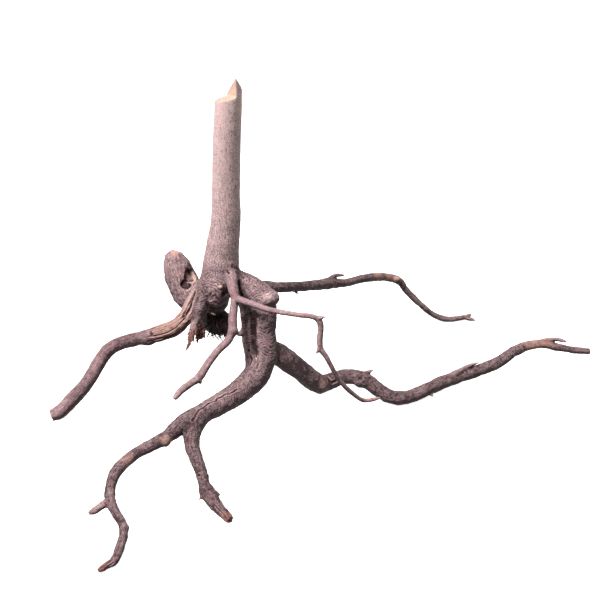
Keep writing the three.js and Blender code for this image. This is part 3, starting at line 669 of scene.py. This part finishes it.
# Distance from each point to a chain of points
def chainDistance(places, chain):
    best = np.full(len(places), 1e9)
    chain = np.array(chain, float)
    low, high = chain.min(0) - 12, chain.max(0) + 12
    near = np.flatnonzero(np.all((places > low) & (places < high), axis=1))
    for a, b in zip(chain, chain[1:]):
        step = b - a
        share = np.clip((places[near] - a) @ step / (step @ step), 0, 1)
        best[near] = np.minimum(best[near], np.linalg.norm(places[near] - a - share[:, None] * step, axis=1))
    return best


local = np.zeros((count, 3))
relief = np.zeros(count)
look = {key: np.zeros(count) for key in ("net", "tone", "warm", "swirl", "rough", "splint")}
strongest = np.zeros(count)
for index, (name, (near, place, share)) in enumerate(shares.items()):
    limb = limbs[name]
    own = share / total[near]
    here = limbPlace(limb, points[near], place)
    relief[near] += own * limbRelief(limb, points[near], here, 20 + 9 * index)
    for key, values in look.items():
        values[near] += own * limb[key]
    winner = own > strongest[near]
    local[near[winner]] = here[winner] + (index * 41.0, 0, 0)
    strongest[near[winner]] = own[winner]
swirlHeight = points @ (0.35, 0.1, 0.93) + 9 * noise(points / 13, 50) + 1.5 * noise(points / 4, 51)
relief += look["swirl"] * folds(swirlHeight, 3.0)
relief += look["rough"] * layered(points / 3.2, 2, 70)
relief += look["net"] * 0.1 * noise(local / (2.6, 1.5, 1.5), 80)
wobble = np.column_stack([noise(points / 4, 90 + axis) for axis in range(3)]) * 1.1
# The crack mask paints shade inside cracks and grooves, over the dark wood there.
crack = np.zeros(count)
# The left root's first half is split along its grain in front and above
near, place, share = shares["leftRoot"]
leftShare = np.zeros(count)
leftShare[near] = (limbs["leftRoot"]["lengths"][place] / limbs["leftRoot"]["lengths"][-1])
splitPart = np.zeros(count)
splitPart[near] = share / total[near]
for name in shares:
    if name.startswith("strand"):
        near, _, share = shares[name]
        splitPart[near] += share / total[near]
splitPart *= eased(leftShare, 0.06, 0.12) * (1 - eased(leftShare + 0.03 * noise(points / 5, 95), 0.37, 0.43))
splitPart *= eased(normals @ (0, -0.75, 0.66), -0.2, 0.35)
grainLines = np.exp(-(noise(local / (46, 4.4, 4.4), 96) / 0.13) ** 2)
relief -= splitPart * (2.2 * grainLines + 0.3 * noise(local / (16, 1.3, 1.3), 97))
look["splint"] = np.clip(look["splint"] * 0.5 + splitPart, 0, 1) * (0.45 + 0.55 * eased(leftShare, 0.16, 0.3))
crack = np.maximum(crack, 0.85 * splitPart * grainLines ** 2)
# The tips of the front roots are grooved along their grain
grooved = np.zeros(count)
for middle, reach in groovedTips:
    grooved = np.maximum(grooved, eased(1.3 - np.linalg.norm(points - middle, axis=1) / reach, 0, 0.4))
tipLines = np.exp(-(noise(local / (40, 2.6, 2.6), 98) / 0.2) ** 2) * grooved
relief -= 0.9 * tipLines
crack = np.maximum(crack, 0.6 * tipLines)
for line in lines:
    distance = chainDistance(points + wobble, line["at"])
    inside = np.exp(-(distance / line["width"]) ** 2)
    rim = np.exp(-((distance - 2.2 * line["width"]) / line["width"]) ** 2)
    relief += line["depth"] * (0.25 * rim - inside)
    crack = np.maximum(crack, inside * line["dark"])
for dent in dents:
    distance = np.linalg.norm(points + wobble - dent["at"], axis=1)
    ratio = distance / dent["reach"]
    relief -= dent["depth"] * (1 - eased(ratio, 0.72, 1.05) if dent.get("sharp") else np.exp(-ratio ** 2))


# The saw cut and the split face inside the shard are fresh wood, and stay nearly flat
def beyond(places, middle, normal):
    return (places - middle) @ unit(np.array(normal, float))


aboveSaw = beyond(points, sawCut["middle"], sawCut["normal"])
leftOfShard = beyond(points, shard["facePoint"], shard["faceNormal"])
stemTop = points[:, 2] > 280
sawn = stemTop * eased(aboveSaw, -0.9, -0.4) * eased(leftOfShard, -0.5, 0.2)
split = stemTop * eased(leftOfShard, -0.9, -0.4) * eased(aboveSaw, -1.5, 0.0)
brokenBack = stemTop * eased(beyond(points, shard["tip"], shard["backNormal"]), -0.9, -0.4)
split = np.maximum(split, brokenBack)
freshTop = np.maximum(sawn, split)
grooves = noise(points / (1.2, 1.6, 9), 100) * split + 0.5 * noise(points / (1.4, 1.4, 3), 101) * sawn
relief = relief * (1 - 0.85 * freshTop) + 0.35 * grooves
points += normals * relief[:, None]
flat = points[:, 2] < groundLevel
points[flat, 2] = groundLevel
points = np.clip(points, lowest + (0.02, 0.02, 0), highest - 0.02)
normals = surfaceNormals(bodyMesh, points)
print("relief laid")

# Masks for the material
broad = points.copy()
for _ in range(14):
    broad += 0.8 * (neighbourMean(broad, edges, degree) - broad)
fineHollow = np.sum((neighbourMean(points, edges, degree) - points) * normals, axis=1)
broadHollow = np.sum((broad - points) * normals, axis=1)
patchy = layered(points / 5, 3, 110)
masks = {
    "crack": crack,
    # Painted shade in creases and in the recesses between limbs, and lighter ridges, from how hollow the surface is
    "furrow": np.clip(0.5 + fineHollow * 1.9 + broadHollow * 0.4, 0, 1),
    # Painted shade on faces turned away from the painted light, weaker on the upper stem
    "paintedUnderShade": eased(-normals @ unit(np.array(paintedLightDirection)), -0.45, 0.6) * (1 - 0.85 * look["net"] * (points[:, 2] > 120)),
    "net": look["net"],
    "tone": look["tone"] * (1 - look["net"]) + look["net"] * (look["tone"] - 0.3 * (1 - eased(points[:, 2], 130, 230))),
    "splint": look["splint"],
    "warm": look["warm"],
    "fresh": freshTop,
}
# These spots lighten or darken the tone; among them are painted shade and a painted highlight.
for middle, reach, amount in toneAndPaintedLight:
    masks["tone"] += amount * eased(1 - np.linalg.norm(points - middle, axis=1) / reach, 0, 0.6)
for name, spots in tints.items():
    values = masks.get(name, np.zeros(count))
    for middle, reach, strength in spots:
        distance = np.linalg.norm(points - middle, axis=1) / reach
        values = np.maximum(values, strength * eased(1.2 - distance + 0.6 * patchy, 0, 0.6))
    masks[name] = values


def writeAttribute(mesh, name, values):
    kind, field = ("FLOAT", "value") if values.ndim == 1 else ("FLOAT_VECTOR", "vector")
    mesh.attributes.new(name, kind, "POINT").data.foreach_set(field, values.ravel().astype(np.float32))


for name, values in masks.items():
    writeAttribute(bodyMesh, name, values)
writeAttribute(bodyMesh, "grain", local)
triangleLimit = 194000
triangles = sum(len(face.vertices) - 2 for face in bodyMesh.polygons)
bodyMesh = modified(bodyMesh, "DECIMATE", ratio=min(1.0, triangleLimit / triangles))
bodyMesh.name = "driftwoodBark"
bodyMesh.shade_smooth()
bodyMesh.materials.clear()
bodyMesh.materials.append(wood)
body = bpy.data.objects.new("driftwoodBark", bodyMesh)
scene.collection.objects.link(body)
pieces = [body]
bodyMesh.calc_loop_triangles()
print("bark:", len(bodyMesh.loop_triangles), "triangles")

# Bark, worn, cut and torn wood in one material
palette = {
    "light": (0.62, 0.46, 0.445, 1), "middle": (0.275, 0.178, 0.188, 1), "dark": (0.03, 0.013, 0.017, 1),
    # The furrow colour is painted shade in deep creases, and the root hairs' own colour.
    "pink": (0.62, 0.34, 0.34, 1), "olive": (0.27, 0.24, 0.19, 1), "furrow": (0.02, 0.008, 0.01, 1),
    # The hollow colour is dark decayed wood and painted shade in cracks, holes and hollows.
    "hollow": (0.026, 0.007, 0.009, 1), "fresh": (0.60, 0.42, 0.335, 1), "freshLine": (0.36, 0.20, 0.16, 1),
    "torn": (0.33, 0.15, 0.115, 1), "tornDark": (0.05, 0.018, 0.015, 1), "worn": (0.52, 0.28, 0.22, 1),
    "splint": (0.43, 0.265, 0.215, 1), "splintDark": (0.08, 0.032, 0.027, 1),
}
sheet = woodSheet
grain = sheet.attribute("grain", 1)
place = sheet.vector("SCALE", sheet.add("ShaderNodeTexCoord", output=3))
place.node.inputs["Scale"].default_value = 1000
stretched = sheet.vector("MULTIPLY", grain, (0.22, 1, 1))
squeezed = sheet.vector("MULTIPLY", grain, (1, 0.3, 0.3))
netPlace = sheet.vector("MULTIPLY", grain, (0.62, 1, 1))
patches = sheet.noise(place, 14, 3)
mottle = sheet.noise(place, 3.2, 4, 0.62)
fibres = sheet.noise(stretched, 1.1, 3, 0.6)
netWarp = sheet.noise(netPlace, 1.6, 2).out("Color")
speckle = sheet.cells(sheet.vector("ADD", netPlace, netWarp), 1.5, "DISTANCE_TO_EDGE")
grit = sheet.noise(place, 0.7, 2, 0.6)
net = sheet.attribute("net")
tone = sheet.attribute("tone")
warm = sheet.attribute("warm")
furrow = sheet.attribute("furrow")
paintedUnderShade = sheet.attribute("paintedUnderShade")
pits = sheet.ramp(speckle, 0.0, 0.22, 1, 0)
# In the lightness below, the furrow term paints shade in creases and recesses and lightens ridges.
lightness = (mottle - 0.5) * 0.42 + (fibres - 0.5) * 0.75 + (grit - 0.5) * 0.5 + tone + 0.55
lightness = lightness + (patches - 0.5) * (0.45 - net * 0.35)
# The last term paints shade on faces turned away from the light.
lightness = lightness - pits * net * 0.34 + net * 0.1 + (0.5 - furrow) * 1.1 - paintedUnderShade * 0.95
colour = sheet.mix(sheet.ramp(lightness, -0.1, 0.58), palette["dark"], palette["middle"])
colour = sheet.mix(sheet.ramp(lightness, 0.45, 1), colour, palette["light"])
tintNoise = sheet.noise(place, 6, 3, 0.6)
colour = sheet.mix(sheet.ramp(tintNoise + warm * 0.5, 0.5, 0.85, 0, 0.7), colour, palette["pink"], "SOFT_LIGHT")
colour = sheet.mix(sheet.ramp(sheet.noise(place, 4.4, 3, 0.6) - warm * 0.4, 0.5, 0.8, 0, 0.55), colour, palette["olive"])
# Painted shade: the deepest creases go nearly black.
colour = sheet.mix(sheet.ramp(furrow, 0.6, 0.95, 0, 0.85), colour, palette["furrow"])
worn = sheet.attribute("worn")
colour = sheet.mix(worn * sheet.ramp(lightness, 0.1, 0.7, 0.45, 1), colour, palette["worn"])
# The split strands' faces turned away from the light get painted shade as well.
splintWood = sheet.mix(sheet.ramp(fibres - furrow * 0.6 - paintedUnderShade * 0.7, -0.05, 0.42), palette["splintDark"], palette["splint"])
colour = sheet.mix(sheet.attribute("splint") * sheet.ramp(patches, 0.3, 0.55, 0.5, 0.95), colour, splintWood)
torn = sheet.attribute("torn")
tornWood = sheet.mix(sheet.ramp(fibres, 0.35, 0.65), palette["tornDark"], palette["torn"])
colour = sheet.mix(torn, colour, tornWood)
fresh = sheet.attribute("fresh")
freshWood = sheet.mix(sheet.ramp(sheet.noise(sheet.vector("MULTIPLY", place, (1, 1, 0.2)), 0.9, 3), 0.4, 0.72, 0, 0.8),
                      palette["fresh"], palette["freshLine"])
colour = sheet.mix(fresh, colour, freshWood)
# Dark decayed wood and painted shade in cracks, holes and hollows
dark = sheet.maths("MAXIMUM", sheet.attribute("hollow"), sheet.attribute("crack"))
colour = sheet.mix(sheet.maths("MULTIPLY", dark, 0.93, clamp=True), colour, palette["hollow"])
sheet.put(colour, woodShader.inputs["Base Color"])
bumpHeight = mottle * 0.35 + fibres * 0.3 + grit * 0.22 - pits * net * 0.3
bump = sheet.add("ShaderNodeBump", {"Height": bumpHeight, "Strength": 0.85, "Distance": 0.0006})
sheet.put(bump, woodShader.inputs["Normal"])

# Splinters, rootlets and frayed fibres grow from patches of the bark
tornMaterial, sheet, shader = newMaterial("tornWood", 0.85)
place = sheet.vector("SCALE", sheet.add("ShaderNodeTexCoord", output=3))
place.node.inputs["Scale"].default_value = 1000
sheet.put(sheet.mix(sheet.ramp(sheet.noise(place, 1.6, 3, 0.6), 0.35, 0.7), palette["tornDark"], palette["torn"]),
          shader.inputs["Base Color"])
hairMaterial, hairSheet, shader = newMaterial("rootHair", 0.9)
shader.inputs["Base Color"].default_value = palette["furrow"]
fibreTree, sheet, given = newTree(
    "growFibres", Density=("Float", 1e5), Length=("Float", 0.008), Width=("Float", 0.08), Direction=("Vector", None),
    Spread=("Float", 0.3), Seed=("Int", 1), Material=("Material", None))
roots = sheet.add("GeometryNodeDistributePointsOnFaces", {"Mesh": given, "Density": given.out("Density"),
                                                          "Seed": given.out("Seed")})
path = sheet.add("GeometryNodeCurveQuadraticBezier", {"Resolution": 6, "Start": (0, 0, -0.08), "Middle": (0.05, 0, 0.5),
                                                     "End": (0.22, 0, 0.96)})
along = sheet.add("GeometryNodeSplineParameter")
ring = sheet.add("GeometryNodeCurvePrimitiveCircle", {"Resolution": 5, "Radius": 1.0})
taper = sheet.maths("POWER", 1.04 - along, 0.4) * given.out("Width")
strand = sheet.add("GeometryNodeCurveToMesh", {"Curve": path, "Profile Curve": ring, "Scale": taper, "Fill Caps": True})
scatter = sheet.add("FunctionNodeRandomValue", {0: (-1, -1, -1), 1: (1, 1, 1), "Seed": 3}, data_type="FLOAT_VECTOR")
spread = sheet.vector("SCALE", scatter)
sheet.put(given.out("Spread"), spread.node.inputs["Scale"])
aim = sheet.add("FunctionNodeAlignRotationToVector", {"Vector": sheet.vector("ADD", given.out("Direction"), spread)},
                axis="Z")
size = sheet.add("FunctionNodeRandomValue", {2: 0.45, 3: 1.15, "Seed": 5}, output=1, data_type="FLOAT")
grownFibres = sheet.add("GeometryNodeInstanceOnPoints", {"Points": roots, "Instance": strand, "Rotation": aim,
                                                         "Scale": size * given.out("Length")})
finishTree(sheet, grownFibres, given.out("Material"))

fibreBeds = [
    {"name": "flankSplinters", "at": [(-118, 28, 83), (-122, 26, 76), (-110, 37, 77), (-113, 36, 81), (-116, 32, 88)],
     "reach": 6, "density": 6e4, "length": 0.0065, "width": 0.24, "direction": (-0.25, -0.3, -0.9), "spread": 0.35,
     "material": tornMaterial},
    {"name": "crownRootlets", "at": [(-101, 51, 75), (-93, 51, 74), (-98, 53, 79), (-86, 54, 76)], "reach": 7,
     "density": 1.2e5, "length": 0.011, "width": 0.075, "direction": (-0.1, -0.5, -0.8), "spread": 0.7,
     "material": hairMaterial},
    {"name": "frontTipFibres", "at": [(-179, -192, 3)], "reach": 4, "density": 6e4, "length": 0.003, "width": 0.1,
     "direction": (-0.75, -0.6, 0.1), "spread": 0.4, "material": tornMaterial},
    {"name": "footTipFibres", "at": [(-81, -131, 4)], "reach": 4, "density": 6e4, "length": 0.003, "width": 0.1,
     "direction": (0.6, -0.75, 0.05), "spread": 0.4, "material": tornMaterial},
    {"name": "sideRootHairs", "at": [(-38, 11, 114), (-34, 10, 114)], "reach": 2.6, "density": 3e5, "length": 0.005,
     "width": 0.03, "direction": (0.2, -0.3, -0.9), "spread": 0.5, "material": hairMaterial},
]
count = len(bodyMesh.vertices)
points = np.clip(readVectors(bodyMesh.vertices, "co", count) * 1000, lowest + (0.02, 0.02, 0), highest - 0.02)
bodyMesh.vertices.foreach_set("co", (points * metre).ravel().astype(np.float32))
corners = np.empty(len(bodyMesh.loop_triangles) * 3, np.int32)
bodyMesh.loop_triangles.foreach_get("vertices", corners)
corners = corners.reshape(-1, 3)
middles = points[corners].mean(1)
for index, bed in enumerate(fibreBeds):
    gaps = np.min([np.linalg.norm(middles - spot, axis=1) for spot in bed["at"]], axis=0)
    chosen = corners[gaps < bed["reach"]]
    used, renumbered = np.unique(chosen, return_inverse=True)
    patch = bpy.data.meshes.new(bed["name"])
    patch.from_pydata(points[used] * metre, [], renumbered.reshape(-1, 3))
    mesh = grown(bpy.data.objects.new(bed["name"] + "Bed", patch), fibreTree, "grow", Density=bed["density"],
                 Length=bed["length"], Width=bed["width"], Direction=bed["direction"], Spread=bed["spread"],
                 Seed=11 + index, Material=bed["material"])
    places = readVectors(mesh.vertices, "co", len(mesh.vertices)) * 1000
    places = np.clip(places, lowest + (0.02, 0.02, 0.05), highest - 0.02)
    mesh.vertices.foreach_set("co", (places * metre).ravel().astype(np.float32))
    mesh.shade_smooth()
    piece = bpy.data.objects.new(bed["name"], mesh)
    scene.collection.objects.link(piece)
    pieces.append(piece)
    print(bed["name"], len(mesh.polygons), "faces")

for piece in pieces:
    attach(piece, "root")
    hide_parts("driftwood")
